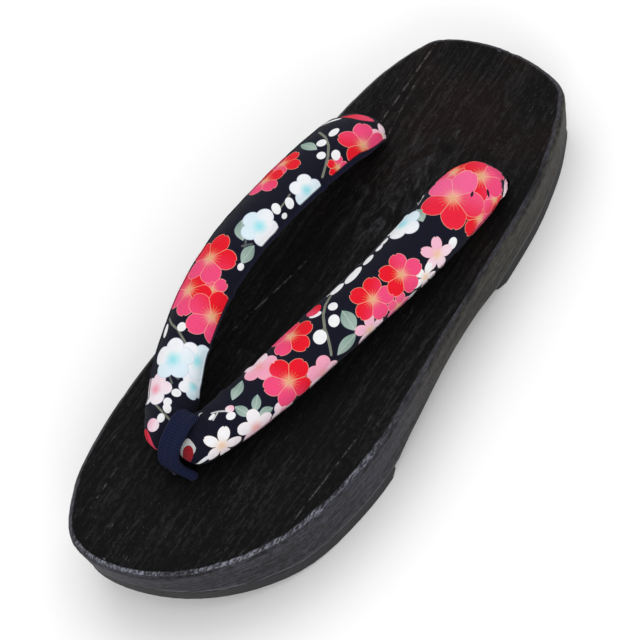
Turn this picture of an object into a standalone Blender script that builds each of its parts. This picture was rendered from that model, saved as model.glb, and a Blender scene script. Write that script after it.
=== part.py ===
"""One geta sandal, for the left foot: a foot-shaped wooden base on two rubber soles, with a padded V strap
that a toe loop holds down. Metres, +X to the toe, +Y to the wearer's left, +Z up, standing on Z 0."""

import math

import bmesh
import bpy
from mathutils import Vector

# The wooden base
LENGTH = 0.240
WIDTH = 0.0915
HEEL_HEIGHT = 0.0240
MIDDLE_HEIGHT = 0.0253
TOE_HEIGHT = 0.0313
TOP_EDGE_ROUND = 0.0026
LOWER_EDGE_ROUND = 0.0010
WALL_UNDERCUT = 0.0015
TOE_SPRING_LENGTH = 0.058
TOE_SPRING_RISE = 0.0140
ARCH_RISE = 0.0042
ARCH_FULLNESS = 0.7

# The rubber soles
RUBBER_THICKNESS = 0.0050
RUBBER_SETBACK = 0.0005
RUBBER_EDGE_ROUND = 0.0006
FRONT_SOLE_LENGTH = 0.0880
HEEL_SOLE_LENGTH = 0.0800
SOLE_CORNER_RADIUS = 0.0060

# The strap holes, and the recesses that keep the knots off the ground
REAR_HOLES_FROM_HEEL = 0.0525
INNER_HOLE_FROM_SIDE = 0.0160
OUTER_HOLE_FROM_SIDE = 0.0150
FRONT_HOLE_FROM_TOE = 0.0465
FRONT_HOLE_ACROSS = -0.0110
BORE_RADIUS = 0.0055
BORE_CHAMFER = 0.0012
RECESS_RADIUS = 0.0095
RECESS_DEPTH = 0.0085
KNOT_HEIGHT = 0.0070

# The padded strap and the toe loop
STRAP_WIDTH = 0.0208
STRAP_CROWN = 0.0074
STRAP_BELLY = 0.0050
STRAP_REAR_ROUND = 0.0040
STRAP_FRONT_ROUND = 0.0080
INNER_ARM_RISE = 0.0185
OUTER_ARM_RISE = 0.0105
LOOP_WIDTH = 0.0082
LOOP_THICKNESS = 0.0030
LOOP_LENGTH = 0.0190

# Room between pieces
GAP = 0.0003
CORD_CLEARANCE = 0.0009
OVERSHOOT = 0.0020

# Fineness of the meshes
STATIONS = 56
EDGE_STEPS = 3
HOLE_SIDES = 32
STRAP_SIDES = 20
STRAP_SPACING = 0.0050
LOOP_SIDES = 12
LOOP_SPACING = 0.0022
CAP_STEPS = 4
KNOT_RINGS = 6

# Outline of the base's top edge. along is a share of the length from the heel. middle and half are shares
# of the width: the middle swings over to the big toe, and half is the half-width there.
OUTLINE = (
    # along, middle, half
    (0.020, 0.005, 0.255),
    (0.060, 0.002, 0.343),
    (0.120, -0.002, 0.402),
    (0.200, -0.005, 0.445),
    (0.320, -0.007, 0.462),
    (0.450, 0.000, 0.467),
    (0.580, 0.007, 0.487),
    (0.680, 0.001, 0.499),
    (0.760, -0.015, 0.485),
    (0.840, -0.036, 0.446),
    (0.900, -0.067, 0.382),
    (0.950, -0.100, 0.290),
    (0.985, -0.138, 0.173),
)
TOE_TIP_ACROSS = -0.160
HEEL_END_FULLNESS = 0.98
TOE_END_FULLNESS = 0.73

# The strap's arms, by their middles. along runs from the rear hole, 0, to the front hole, 1. bow is how far
# the arm stands to the left of the straight line between its holes, as a share of the width. lift is a
# share of that arm's rise above the wood, breadth and depth are shares of the strap's width and thickness.
# lean is in degrees, and positive tips the arm's left edge up.
INNER_ARM = (
    # along, bow, lift, breadth, depth, lean
    (0.000, 0.000, 0.19, 0.62, 0.80, 0.0),
    (0.053, 0.000, 0.52, 0.90, 1.00, 4.0),
    (0.110, -0.024, 0.67, 1.00, 1.00, 8.0),
    (0.223, -0.066, 0.84, 1.00, 1.00, 10.0),
    (0.351, -0.109, 0.96, 0.98, 1.00, 12.0),
    (0.493, -0.152, 1.00, 0.96, 1.00, 12.0),
    (0.635, -0.173, 0.88, 0.94, 1.00, 12.0),
    (0.777, -0.161, 0.66, 0.90, 1.00, 10.0),
    (0.890, -0.119, 0.47, 0.87, 1.00, 6.0),
    (0.968, -0.074, 0.41, 0.80, 1.00, 0.0),
)
OUTER_ARM = (
    # along, bow, lift, breadth, depth, lean
    (0.000, 0.000, 0.33, 0.62, 0.80, 0.0),
    (0.053, 0.005, 0.74, 0.90, 1.00, -4.0),
    (0.110, 0.019, 0.83, 1.00, 1.00, -8.0),
    (0.223, 0.048, 0.95, 1.00, 1.00, -10.0),
    (0.351, 0.067, 1.00, 0.98, 1.00, -10.0),
    (0.493, 0.070, 0.99, 0.96, 1.00, -10.0),
    (0.635, 0.068, 0.91, 0.94, 1.00, -8.0),
    (0.777, 0.066, 0.80, 0.90, 1.00, -6.0),
    (0.890, 0.055, 0.78, 0.87, 1.00, -4.0),
    (0.960, 0.037, 0.68, 0.80, 1.00, 0.0),
)

# The toe loop, from the front of its hole over the point of the V and back down. forward is a share of the
# loop's length from the hole's middle, up of its height above the wood, and breadth of its width.
TOE_LOOP = (
    # forward, up, breadth
    (0.130, -0.20, 0.60),
    (0.190, 0.06, 0.78),
    (0.290, 0.34, 0.98),
    (0.285, 0.63, 1.00),
    (0.120, 0.88, 1.00),
    (-0.185, 1.00, 1.00),
    (-0.470, 0.94, 1.00),
    (-0.660, 0.73, 0.98),
    (-0.690, 0.48, 0.92),
    (-0.560, 0.27, 0.84),
    (-0.340, 0.18, 0.72),
    (-0.160, 0.04, 0.62),
    (-0.130, -0.20, 0.60),
)

# Places that follow from the sizes
HEEL_END = -LENGTH / 2
TOE_END = LENGTH / 2
FRONT_SOLE_CUT = TOE_END - FRONT_SOLE_LENGTH
HEEL_SOLE_CUT = HEEL_END + HEEL_SOLE_LENGTH
FRONT_HOLE = (TOE_END - FRONT_HOLE_FROM_TOE, FRONT_HOLE_ACROSS)
CORD_RADIUS = BORE_RADIUS - CORD_CLEARANCE
KNOT_RADIUS = RECESS_RADIUS - CORD_CLEARANCE
LOOP_HEIGHT = OUTER_ARM_RISE * OUTER_ARM[-1][2] + STRAP_CROWN + LOOP_THICKNESS / 2 + GAP


def table_curve(rows, column, at):
    """A smooth curve's value through one column of a table, at a place along the first column."""
    last = len(rows) - 1
    k = 0
    while k < last - 1 and at > rows[k + 1][0]:
        k += 1

    def slope(n):
        before = rows[max(n - 1, 0)]
        after = rows[min(n + 1, last)]
        return (after[column] - before[column]) / (after[0] - before[0])

    step = rows[k + 1][0] - rows[k][0]
    t = (at - rows[k][0]) / step
    return (
        rows[k][column] * (2 * t**3 - 3 * t**2 + 1)
        + slope(k) * step * (t**3 - 2 * t**2 + t)
        + rows[k + 1][column] * (3 * t**2 - 2 * t**3)
        + slope(k + 1) * step * (t**3 - t**2)
    )


def oval_half(along):
    """Half-width of an oval of length and width 1, which the outline is measured against."""
    return math.sqrt(along * (1 - along))


# The outline's half-widths as fullness, their ratio to the oval's, which stays smooth round both ends.
FULLNESS = (
    ((0.0, 0.0, HEEL_END_FULLNESS),)
    + tuple((along, middle, half / (2 * oval_half(along))) for along, middle, half in OUTLINE)
    + ((1.0, TOE_TIP_ACROSS, TOE_END_FULLNESS),)
)


def edge_point(turn):
    """A point of the outline: turn 0 is the heel's end, half a turn on the left side is the toe's end."""
    along = (1 - math.cos(turn)) / 2
    middle = table_curve(FULLNESS, 1, along)
    half = table_curve(FULLNESS, 2, along) * math.sin(turn)
    return Vector((HEEL_END + along * LENGTH, (middle + half) * WIDTH))


def inset_point(turn, inset):
    """The outline's point, moved in at right angles to the edge."""
    nudge = 0.002
    way = (edge_point(turn + nudge) - edge_point(turn - nudge)).normalized()
    return edge_point(turn) + Vector((way.y, -way.x)) * inset


def turn_at(x):
    return math.acos(1 - 2 * (x - HEEL_END) / LENGTH)


def rear_hole(way, from_side):
    """Middle of a rear strap hole, by its distance from the base's left side, way 1, or its right, way -1."""
    x = HEEL_END + REAR_HOLES_FROM_HEEL
    return (x, edge_point(way * turn_at(x)).y - way * from_side)


INNER_HOLE = rear_hole(-1, INNER_HOLE_FROM_SIDE)
OUTER_HOLE = rear_hole(1, OUTER_HOLE_FROM_SIDE)


def top_height(x):
    """Height of the base's top, a curve through its heights at the heel, the middle and the toe."""
    t = 2 * x / LENGTH
    tilt = (TOE_HEIGHT - HEEL_HEIGHT) / 2
    dish = (TOE_HEIGHT + HEEL_HEIGHT) / 2 - MIDDLE_HEIGHT
    return MIDDLE_HEIGHT + tilt * t + dish * t * t


def tread_height(x):
    """Height of the rubber's tread: flat, then curved up along the toe spring."""
    past = max(0.0, x - (TOE_END - TOE_SPRING_LENGTH))
    return TOE_SPRING_RISE * (past / TOE_SPRING_LENGTH) ** 2


def rubber_top(x):
    return tread_height(x) + RUBBER_THICKNESS


def wood_underside(x):
    """Height of the wood's underside: it sits on the rubber, and between the soles it is hollowed."""
    height = rubber_top(x) + GAP
    t = (x - HEEL_SOLE_CUT) / (FRONT_SOLE_CUT - HEEL_SOLE_CUT)
    if 0 < t < 1:
        height += ARCH_RISE * math.sin(math.pi * t) ** ARCH_FULLNESS
    return height


def make_material(name, colour, roughness):
    material = bpy.data.materials.new(name)
    material.use_nodes = True
    shader = material.node_tree.nodes["Principled BSDF"]
    shader.inputs["Base Color"].default_value = (*colour, 1.0)
    shader.inputs["Roughness"].default_value = roughness
    shader.inputs["Metallic"].default_value = 0.0
    return material


def make_object(name, bm, material=None):
    """Turn a bmesh into an object, shaded smooth but for its real edges."""
    bmesh.ops.recalc_face_normals(bm, faces=bm.faces)
    mesh = bpy.data.meshes.new(name)
    bm.to_mesh(mesh)
    bm.free()
    mesh.shade_smooth()
    mesh.set_sharp_from_angle(angle=math.radians(35))
    if material:
        mesh.materials.append(material)
    thing = bpy.data.objects.new(name, mesh)
    bpy.context.scene.collection.objects.link(thing)
    return thing


def combine(thing, other, operation):
    """Join another solid to an object, or cut it away, and keep that solid as a hidden guide."""
    other.hide_render = True
    other.display_type = "WIRE"
    modifier = thing.modifiers.new(other.name, "BOOLEAN")
    modifier.operation = operation
    modifier.solver = "EXACT"
    modifier.object = other


def add_face(bm, corners):
    """A face of these corners, without those that fall together at a tip."""
    distinct = []
    for corner in corners:
        if corner not in distinct:
            distinct.append(corner)
    if len(distinct) > 2:
        bm.faces.new(distinct)


def slab(name, turns, levels, material, corner_at=None):
    """A foot-shaped solid: one ring of points a level, each with an inset and a height along the foot.
    turns run from heel to toe on the left side, and the right side mirrors them. At corner_at the slab is
    cut off across the foot, with rounded corners."""
    bm = bmesh.new()
    rings = []
    for inset, height in levels:
        sides = []
        for way in (1, -1):
            side = []
            for turn in turns:
                point = inset_point(turn * way, inset)
                if corner_at is not None:
                    point.y -= way * corner_trim(abs(point.x - corner_at))
                if way < 0 and math.sin(turn) < 1e-6:
                    side.append(sides[0][len(side)])
                else:
                    side.append(bm.verts.new((point.x, point.y, height(point.x))))
            sides.append(side)
        rings.append(sides)
    for (left, right), (left_above, right_above) in zip(rings, rings[1:]):
        for k in range(len(turns) - 1):
            add_face(bm, (left[k], left[k + 1], left_above[k + 1], left_above[k]))
            add_face(bm, (right[k + 1], right[k], right_above[k], right_above[k + 1]))
        for end in (0, -1):
            add_face(bm, (left[end], right[end], right_above[end], left_above[end]))
    for left, right in (rings[0], rings[-1]):
        for k in range(len(turns) - 1):
            add_face(bm, (left[k], left[k + 1], right[k + 1], right[k]))
    return make_object(name, bm, material)


def corner_trim(distance):
    """How much a rounded corner takes off each side, at a distance from the cut end."""
    if distance >= SOLE_CORNER_RADIUS:
        return 0.0
    reach = SOLE_CORNER_RADIUS - distance
    return SOLE_CORNER_RADIUS - math.sqrt(SOLE_CORNER_RADIUS**2 - reach**2)


def round_levels(radius, inset, height, top):
    """Levels of a rounded edge: from the wall to the top, or from the bottom to the wall."""
    levels = []
    for step in range(EDGE_STEPS + 1):
        angle = math.pi / 2 * step / EDGE_STEPS
        inward = radius * (1 - math.cos(angle))
        down = radius * (1 - math.sin(angle))
        if top:
            levels.append((inset + inward, lambda x, down=down: height(x) - down))
        else:
            levels.insert(0, (inset + inward, lambda x, down=down: height(x) + down))
    return levels


def rod(name, place, radius, bottom, top):
    """An upright round rod at a place (x, y)."""
    bm = bmesh.new()
    bmesh.ops.create_cone(
        bm, cap_ends=True, segments=HOLE_SIDES, radius1=radius, radius2=radius, depth=top - bottom
    )
    bmesh.ops.translate(bm, verts=bm.verts, vec=(*place, (bottom + top) / 2))
    return make_object(name, bm)


def flare(name, place, radius, surface):
    """A cutter for the chamfer round a hole's mouth in the base's top."""
    bm = bmesh.new()
    bmesh.ops.create_cone(
        bm,
        cap_ends=True,
        segments=HOLE_SIDES,
        radius1=radius,
        radius2=radius + BORE_CHAMFER * 2,
        depth=BORE_CHAMFER * 2,
    )
    bmesh.ops.translate(bm, verts=bm.verts, vec=(*place, surface))
    return make_object(name, bm)


def knot(name, place, top):
    """A pulled-up knot: a flattened ball."""
    bm = bmesh.new()
    bmesh.ops.create_uvsphere(bm, u_segments=HOLE_SIDES // 2, v_segments=KNOT_RINGS, radius=1)
    bmesh.ops.scale(bm, verts=bm.verts, vec=(KNOT_RADIUS, KNOT_RADIUS, KNOT_HEIGHT / 2))
    bmesh.ops.translate(bm, verts=bm.verts, vec=(*place, top - KNOT_HEIGHT / 2))
    return make_object(name, bm)


def recess_top(place):
    return wood_underside(place[0]) + RECESS_DEPTH


def knot_top(place):
    return recess_top(place) - GAP


def tube(name, rings, material=None):
    """A closed solid through rings of points, with a pole at each end."""
    bm = bmesh.new()
    rows = [[bm.verts.new(point) for point in ring] for ring in rings]
    for ring, following in zip(rows, rows[1:]):
        count = max(len(ring), len(following))
        for k in range(count):
            n = (k + 1) % count
            corners = (
                ring[k % len(ring)],
                ring[n % len(ring)],
                following[n % len(following)],
                following[k % len(following)],
            )
            add_face(bm, corners)
    return make_object(name, bm, material)


def arm_middle(rows, hole, rise, along):
    """Middle of a strap's arm, between its rear hole and the front hole."""
    x = hole[0] + (FRONT_HOLE[0] - hole[0]) * along
    y = hole[1] + (FRONT_HOLE[1] - hole[1]) * along + table_curve(rows, 1, along) * WIDTH
    return Vector((x, y, top_height(x) + table_curve(rows, 2, along) * rise))


def arm_ring(rows, hole, rise, along, size=1.0, push=0.0):
    """One cross-section of an arm: a crown over a flatter belly, leaning over by the table's angle."""
    middle = arm_middle(rows, hole, rise, along)
    nudge = 0.004
    way = arm_middle(rows, hole, rise, along + nudge) - arm_middle(rows, hole, rise, along - nudge)
    way.normalize()
    left = Vector((0, 0, 1)).cross(way).normalized()
    above = way.cross(left)
    lean = math.radians(table_curve(rows, 5, along))
    side = left * math.cos(lean) + above * math.sin(lean)
    crest = above * math.cos(lean) - left * math.sin(lean)
    half = STRAP_WIDTH / 2 * table_curve(rows, 3, along) * size
    depth = table_curve(rows, 4, along) * size
    points = []
    for k in range(STRAP_SIDES):
        angle = 2 * math.pi * k / STRAP_SIDES
        rise_here = STRAP_CROWN if math.sin(angle) > 0 else STRAP_BELLY
        offset = side * half * math.cos(angle) + crest * rise_here * depth * math.sin(angle)
        points.append(middle + way * push + offset)
    if size == 0.0:
        return [middle + way * push]
    return points


def strap_arm(name, rows, hole, rise, material=None):
    first = rows[0][0]
    last = rows[-1][0]
    steps = round((FRONT_HOLE[0] - hole[0]) * (last - first) / STRAP_SPACING)
    rings = []
    for k in range(CAP_STEPS, 0, -1):
        angle = math.pi / 2 * k / CAP_STEPS
        size = 0.0 if k == CAP_STEPS else math.cos(angle)
        rings.append(arm_ring(rows, hole, rise, first, size, -STRAP_REAR_ROUND * math.sin(angle)))
    for k in range(steps + 1):
        rings.append(arm_ring(rows, hole, rise, first + (last - first) * k / steps))
    for k in range(1, CAP_STEPS + 1):
        angle = math.pi / 2 * k / CAP_STEPS
        size = 0.0 if k == CAP_STEPS else math.cos(angle)
        rings.append(arm_ring(rows, hole, rise, last, size, STRAP_FRONT_ROUND * math.sin(angle)))
    return tube(name, rings, material)


def loop_middle(t):
    """Middle of the toe loop's band, by a place from 0 to 1 through its table."""
    spot = t * (len(TOE_LOOP) - 1)
    rows = [(k,) + row for k, row in enumerate(TOE_LOOP)]
    x = FRONT_HOLE[0] + table_curve(rows, 1, spot) * LOOP_LENGTH
    z = top_height(FRONT_HOLE[0]) + table_curve(rows, 2, spot) * LOOP_HEIGHT
    return Vector((x, FRONT_HOLE[1], z)), table_curve(rows, 3, spot)


def toe_band(name, room=0.0, material=None):
    """The band round the point of the V, or with some room round it, the cutter of its seat."""
    path = sum(
        (loop_middle((k + 1) / 40)[0] - loop_middle(k / 40)[0]).length for k in range(40)
    )
    steps = round(path / LOOP_SPACING)
    nudge = 0.01
    rings = []
    for k in range(steps + 1):
        t = k / steps
        middle, breadth = loop_middle(t)
        way = loop_middle(min(t + nudge, 1.0))[0] - loop_middle(max(t - nudge, 0.0))[0]
        way.normalize()
        outward = way.cross(Vector((0, 1, 0)))
        half_width = LOOP_WIDTH / 2 * breadth + room
        half_depth = LOOP_THICKNESS / 2 + room
        ring = []
        for n in range(LOOP_SIDES):
            angle = 2 * math.pi * n / LOOP_SIDES
            offset = Vector((0, 1, 0)) * half_width * math.cos(angle) + outward * half_depth * math.sin(angle)
            ring.append(middle + offset)
        rings.append(ring)
    rings.insert(0, [loop_middle(0.0)[0]])
    rings.append([loop_middle(1.0)[0]])
    return tube(name, rings, material)


def make_base(material):
    turns = [math.pi * k / STATIONS for k in range(STATIONS + 1)]
    levels = round_levels(LOWER_EDGE_ROUND, WALL_UNDERCUT, wood_underside, top=False)
    levels += round_levels(TOP_EDGE_ROUND, 0.0, top_height, top=True)
    base = slab("base", turns, levels, material)
    for name, place in (("inner", INNER_HOLE), ("outer", OUTER_HOLE), ("front", FRONT_HOLE)):
        surface = top_height(place[0])
        bore = rod(f"{name}_bore", place, BORE_RADIUS, -OVERSHOOT, surface + OVERSHOOT)
        recess = rod(f"{name}_recess", place, RECESS_RADIUS, -OVERSHOOT, recess_top(place))
        combine(base, bore, "DIFFERENCE")
        combine(base, recess, "DIFFERENCE")
        combine(base, flare(f"{name}_mouth", place, BORE_RADIUS, surface), "DIFFERENCE")
    return base


def make_sole(name, cut, tip, places, material):
    """A rubber sole from a cut end across the foot to the round tip of the heel or the toe."""
    step = math.pi / STATIONS
    toward_toe = tip > cut
    trims = [SOLE_CORNER_RADIUS * share for share in (0.0, 0.12, 0.4, 1.0)]
    way = 1 if toward_toe else -1
    turns = [turn_at(cut + way * trim) for trim in trims]
    turn = turns[-1] + way * step
    while step / 2 < turn < math.pi - step / 2:
        turns.append(turn)
        turn += way * step
    turns.append(math.pi if toward_toe else 0.0)
    turns.sort()
    inset = WALL_UNDERCUT + RUBBER_SETBACK
    levels = round_levels(RUBBER_EDGE_ROUND, inset, tread_height, top=False)
    levels.append((inset, rubber_top))
    sole = slab(name, turns, levels, material, corner_at=cut)
    for n, place in enumerate(places):
        opening = rod(f"{name}_opening_{n}", place, RECESS_RADIUS, -OVERSHOOT, rubber_top(place[0]) + OVERSHOOT)
        combine(sole, opening, "DIFFERENCE")
    return sole


def make_strap(material):
    strap = strap_arm("strap", INNER_ARM, INNER_HOLE, INNER_ARM_RISE, material)
    combine(strap, strap_arm("outer_arm", OUTER_ARM, OUTER_HOLE, OUTER_ARM_RISE), "UNION")
    arms = (("inner", INNER_ARM, INNER_HOLE, INNER_ARM_RISE), ("outer", OUTER_ARM, OUTER_HOLE, OUTER_ARM_RISE))
    for name, rows, hole, rise in arms:
        arm_end = arm_middle(rows, hole, rise, rows[0][0]).z
        cord_bottom = knot_top(hole) - KNOT_HEIGHT / 2
        combine(strap, rod(f"{name}_core", hole, CORD_RADIUS, cord_bottom, arm_end), "UNION")
        combine(strap, knot(f"{name}_knot", hole, knot_top(hole)), "UNION")
    combine(strap, toe_band("toe_loop_seat", room=GAP), "DIFFERENCE")
    return strap


def make_toe_loop(material):
    loop = toe_band("toe_loop", material=material)
    cord_top = loop_middle(0.0)[0].z + LOOP_THICKNESS / 2
    cord_bottom = knot_top(FRONT_HOLE) - KNOT_HEIGHT / 2
    combine(loop, rod("toe_cord", FRONT_HOLE, CORD_RADIUS, cord_bottom, cord_top), "UNION")
    combine(loop, knot("toe_knot", FRONT_HOLE, knot_top(FRONT_HOLE)), "UNION")
    return loop


for thing in list(bpy.data.objects):
    bpy.data.objects.remove(thing)

wood = make_material("baked_wood", (0.010, 0.010, 0.011), 0.55)
rubber = make_material("sole_rubber", (0.016, 0.016, 0.018), 0.75)
cloth = make_material("strap_cloth", (0.020, 0.022, 0.060), 0.80)
cord = make_material("loop_cord", (0.015, 0.022, 0.060), 0.85)

make_base(wood)
make_sole("front_sole", FRONT_SOLE_CUT, TOE_END, [FRONT_HOLE], rubber)
make_sole("heel_sole", HEEL_SOLE_CUT, HEEL_END, [INNER_HOLE, OUTER_HOLE], rubber)
make_strap(cloth)
make_toe_loop(cord)
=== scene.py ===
"""A left geta sandal as it looks: a black baked wooden base on rubber soles, with a padded strap of navy
blossom cloth and a knitted toe loop. Metres, +X to the toe, +Y to the outer side, +Z up."""

import math

import bmesh
import bpy
import numpy as np
from mathutils import Matrix, Vector, noise


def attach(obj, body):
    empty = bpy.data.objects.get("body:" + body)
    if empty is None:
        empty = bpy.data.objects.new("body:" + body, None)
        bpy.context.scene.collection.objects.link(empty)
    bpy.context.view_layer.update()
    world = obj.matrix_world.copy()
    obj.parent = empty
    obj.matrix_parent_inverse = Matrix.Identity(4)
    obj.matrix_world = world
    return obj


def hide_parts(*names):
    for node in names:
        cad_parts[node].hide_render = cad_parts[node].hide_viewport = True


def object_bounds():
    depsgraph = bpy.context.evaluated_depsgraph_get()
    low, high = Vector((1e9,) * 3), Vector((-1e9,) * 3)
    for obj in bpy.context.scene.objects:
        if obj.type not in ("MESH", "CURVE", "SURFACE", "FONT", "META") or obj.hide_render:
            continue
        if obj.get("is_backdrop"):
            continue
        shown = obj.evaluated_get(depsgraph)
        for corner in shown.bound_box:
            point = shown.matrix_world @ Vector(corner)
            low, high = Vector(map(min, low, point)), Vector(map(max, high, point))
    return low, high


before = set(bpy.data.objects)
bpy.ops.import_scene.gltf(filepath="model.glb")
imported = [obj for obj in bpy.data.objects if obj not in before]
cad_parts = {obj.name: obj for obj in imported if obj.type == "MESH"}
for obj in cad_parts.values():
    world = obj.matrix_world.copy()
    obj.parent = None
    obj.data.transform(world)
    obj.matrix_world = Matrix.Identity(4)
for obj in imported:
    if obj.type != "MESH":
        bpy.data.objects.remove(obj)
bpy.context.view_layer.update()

# The view: a long lens from the photo's own place, high over the toe and the outer side and rolled over as in
# the photo. It is turned and drawn in to frame the one shoe.
VIEW_AROUND = math.radians(52.6)
VIEW_ABOVE = math.radians(54.5)
VIEW_ROLL = math.radians(-23.35)
VIEW_DISTANCE = 1.112
VIEW_CENTRE = Vector((-0.0022, -0.0535, 0.0))
SHOE_MIDDLE = Vector((0.006, 0.0, 0.025))
VIEW_LENS = 176

flat_way = math.cos(VIEW_ABOVE)
backward = Vector((flat_way * math.cos(VIEW_AROUND), flat_way * math.sin(VIEW_AROUND), math.sin(VIEW_ABOVE)))
level = Vector((-math.sin(VIEW_AROUND), math.cos(VIEW_AROUND), 0))
headward = backward.cross(level) * math.cos(VIEW_ROLL) - level * math.sin(VIEW_ROLL)
eye = VIEW_CENTRE + backward * VIEW_DISTANCE
aim = (eye - SHOE_MIDDLE).normalized()
headward = (headward - aim * headward.dot(aim)).normalized()
camera = bpy.data.objects.new("camera", bpy.data.cameras.new("camera"))
camera.data.lens = VIEW_LENS
camera.data.clip_start = 0.1
camera.data.clip_end = 20
camera.matrix_world = Matrix((headward.cross(aim), headward, aim)).transposed().to_4x4()
camera.location = eye
bpy.context.scene.collection.objects.link(camera)
bpy.context.scene.camera = camera


# The base is the dai, one piece of light paulownia wood cut foot-shaped, baked black and brushed along the
# grain. Its top edge is rounded and a little chipped, and three strap holes are bored down to knot recesses.
LENGTH = 0.240
WIDTH = 0.0915
HEEL_HEIGHT = 0.0240
MIDDLE_HEIGHT = 0.0253
TOE_HEIGHT = 0.0313
TOP_EDGE_ROUND = 0.0026
LOWER_EDGE_ROUND = 0.0010
WALL_UNDERCUT = 0.0015
TOE_SPRING_LENGTH = 0.058
TOE_SPRING_RISE = 0.0140
RUBBER_THICKNESS = 0.0050
FRONT_SOLE_LENGTH = 0.0880
HEEL_SOLE_LENGTH = 0.0800
ARCH_RISE = 0.0042
ARCH_FULLNESS = 0.7
SEAT_GAP = 0.0003
BORE_RADIUS = 0.0055
BORE_CHAMFER = 0.0004
RECESS_RADIUS = 0.0095
RECESS_DEPTH = 0.0085
BASE_STATIONS = 240
TOP_COLUMNS = 120
UNDER_COLUMNS = 40
LOWER_EDGE_STEPS = 3
WALL_STEPS = 8
TOP_EDGE_STEPS = 6
BORE_SIDES = 64

OUTLINE = (
    # along, middle, fullness
    (0, 0, 0.98),
    (0.02, 0.005, 0.911),
    (0.06, 0.002, 0.722),
    (0.12, -0.002, 0.619),
    (0.2, -0.005, 0.556),
    (0.32, -0.007, 0.495),
    (0.45, 0, 0.469),
    (0.58, 0.007, 0.493),
    (0.68, 0.001, 0.535),
    (0.76, -0.015, 0.568),
    (0.84, -0.036, 0.608),
    (0.9, -0.067, 0.637),
    (0.95, -0.1, 0.665),
    (0.985, -0.138, 0.712),
    (1, -0.16, 0.73),
)


def through(rows, column, at):
    """A smooth curve through one column of a table, at places along its first column."""
    table = np.array(rows, float)
    places = table[:, 0]
    values = table[:, column]
    number = np.arange(len(table))
    before = np.maximum(number - 1, 0)
    after = np.minimum(number + 1, len(table) - 1)
    slopes = (values[after] - values[before]) / (places[after] - places[before])
    k = np.clip(np.searchsorted(places, at) - 1, 0, len(table) - 2)
    step = places[k + 1] - places[k]
    t = (at - places[k]) / step
    return (
        values[k] * (2 * t**3 - 3 * t**2 + 1)
        + slopes[k] * step * (t**3 - 2 * t**2 + t)
        + values[k + 1] * (3 * t**2 - 2 * t**3)
        + slopes[k + 1] * step * (t**3 - t**2)
    )


def edge(turn):
    """Points of the base's outline: turn 0 is the heel's end, and half a turn on the left is the toe's."""
    along = (1 - np.cos(turn)) / 2
    across = through(OUTLINE, 1, along) + through(OUTLINE, 2, along) * np.sin(turn)
    return np.stack([(along - 0.5) * LENGTH, across * WIDTH], -1)


def edge_moved_in(turn, inset):
    nudge = 0.002
    way = edge(turn + nudge) - edge(turn - nudge)
    way /= np.linalg.norm(way, axis=-1, keepdims=True)
    return edge(turn) + np.stack([way[:, 1], -way[:, 0]], -1) * inset


def top_height(x):
    t = 2 * x / LENGTH
    tilt = (TOE_HEIGHT - HEEL_HEIGHT) / 2
    dish = (TOE_HEIGHT + HEEL_HEIGHT) / 2 - MIDDLE_HEIGHT
    return MIDDLE_HEIGHT + tilt * t + dish * t * t


def underside(x):
    past = np.maximum(0, x - (LENGTH / 2 - TOE_SPRING_LENGTH))
    height = TOE_SPRING_RISE * (past / TOE_SPRING_LENGTH) ** 2 + RUBBER_THICKNESS + SEAT_GAP
    heel_cut = HEEL_SOLE_LENGTH - LENGTH / 2
    front_cut = LENGTH / 2 - FRONT_SOLE_LENGTH
    arch = np.clip((x - heel_cut) / (front_cut - heel_cut), 0, 1)
    return height + ARCH_RISE * np.sin(math.pi * arch) ** ARCH_FULLNESS


def make_piece(name, points, faces):
    """An object from points and faces. Points that fall together are merged."""
    mesh = bpy.data.meshes.new(name)
    mesh.from_pydata([tuple(p) for p in points], [], faces)
    bm = bmesh.new()
    bm.from_mesh(mesh)
    bmesh.ops.remove_doubles(bm, verts=bm.verts, dist=1e-6)
    bmesh.ops.recalc_face_normals(bm, faces=bm.faces)
    bm.to_mesh(mesh)
    bm.free()
    mesh.shade_smooth()
    thing = bpy.data.objects.new(name, mesh)
    bpy.context.scene.collection.objects.link(thing)
    return thing


def net(rows, columns, capped=False):
    """Faces of a net of points, row by row, closed round each row and, when capped, over both ends."""
    faces = []
    for r in range(rows - 1):
        for c in range(columns):
            n = (c + 1) % columns
            faces.append((r * columns + c, r * columns + n, (r + 1) * columns + n, (r + 1) * columns + c))
    if capped:
        faces.append(tuple(range(columns)))
        faces.append(tuple(range((rows - 1) * columns, rows * columns)))
    return faces


turns = np.linspace(0, math.pi, BASE_STATIONS + 1)
side_levels = []
for step in range(LOWER_EDGE_STEPS + 1):
    swing = math.pi / 2 * step / LOWER_EDGE_STEPS
    inset = WALL_UNDERCUT + LOWER_EDGE_ROUND * (1 - math.sin(swing))
    lift = LOWER_EDGE_ROUND * (1 - math.cos(swing))
    side_levels.append((inset, lift, 0.0))
for step in range(1, WALL_STEPS):
    share = step / WALL_STEPS
    side_levels.append((WALL_UNDERCUT * (1 - share), 0.0, share))
for step in range(TOP_EDGE_STEPS + 1):
    swing = math.pi / 2 * step / TOP_EDGE_STEPS
    side_levels.append((TOP_EDGE_ROUND * (1 - math.cos(swing)), TOP_EDGE_ROUND * (math.sin(swing) - 1), 1.0))

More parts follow.
